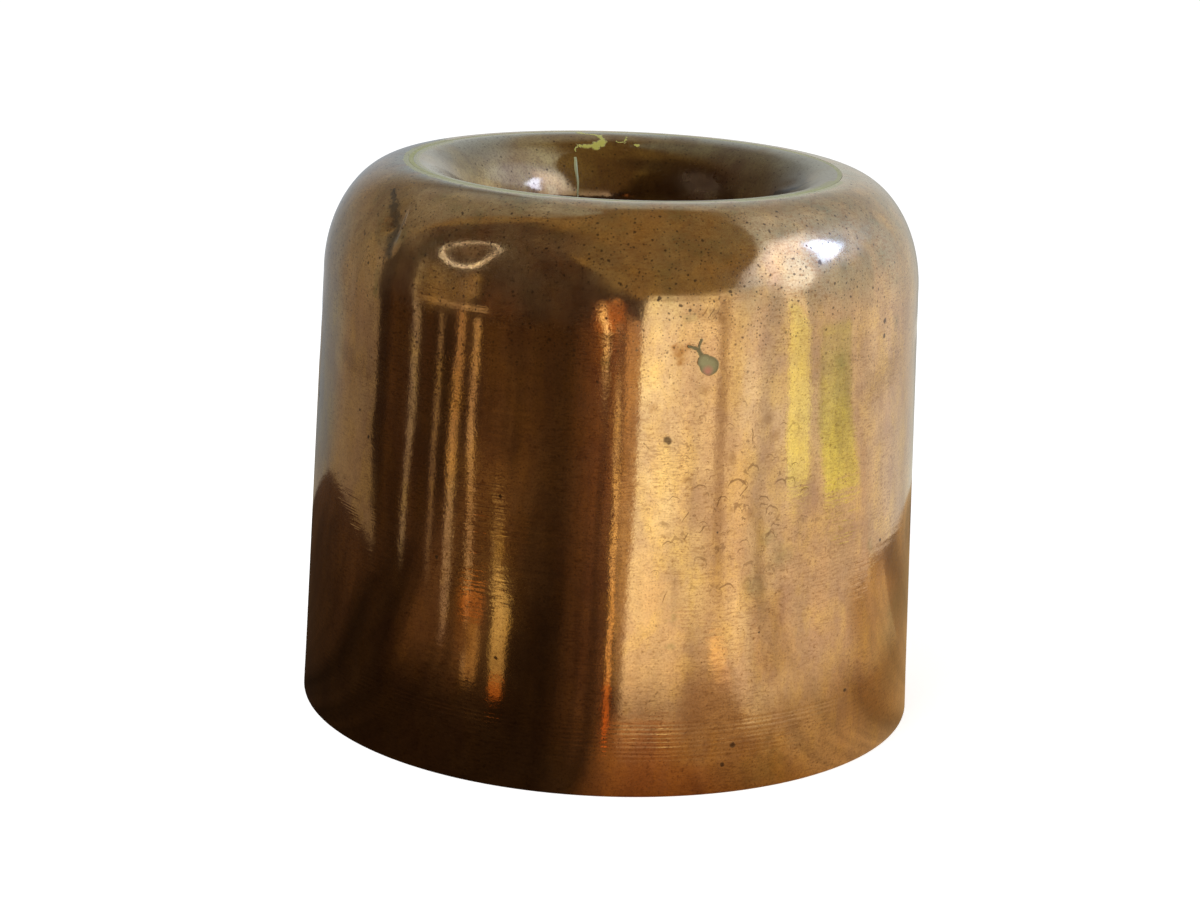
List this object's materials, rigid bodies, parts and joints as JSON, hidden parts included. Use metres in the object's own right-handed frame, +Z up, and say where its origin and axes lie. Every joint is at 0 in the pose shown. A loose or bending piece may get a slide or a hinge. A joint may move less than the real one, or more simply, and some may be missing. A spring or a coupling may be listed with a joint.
{
  "type": "ring mould",
  "caption": "Round copper ring mould with a flared wall, a rounded shoulder and a deep tapered well, tinned inside and standing mouth down.",
  "frame": {"origin": "centre of the mouth, in the plane of the rim that the mould stands on", "axes": "+Z up from the rim to the crest along the axis of the ring; -Y towards the viewer of the picture; the well's side seam is at 107.5 degrees from +X towards +Y"},
  "size_m": [0.127, 0.127, 0.1112],
  "materials": {
    "casing_copper": "polished copper sheet, tarnished and marked by use",
    "well_copper": "tarnished copper sheet, less polished than the wall",
    "spelter": "filed brazing brass, dull yellow",
    "tin": "wiped tin, satin grey"
  },
  "bodies": {
    "root": {"casing": "casing_copper", "well": "well_copper", "well_cap": "well_copper", "crest_braze": "spelter", "well_side_braze": "spelter", "cap_braze": "spelter", "casing_tinning": "tin", "well_tinning": "tin", "cap_tinning": "tin"}
  },
  "joints": []
}
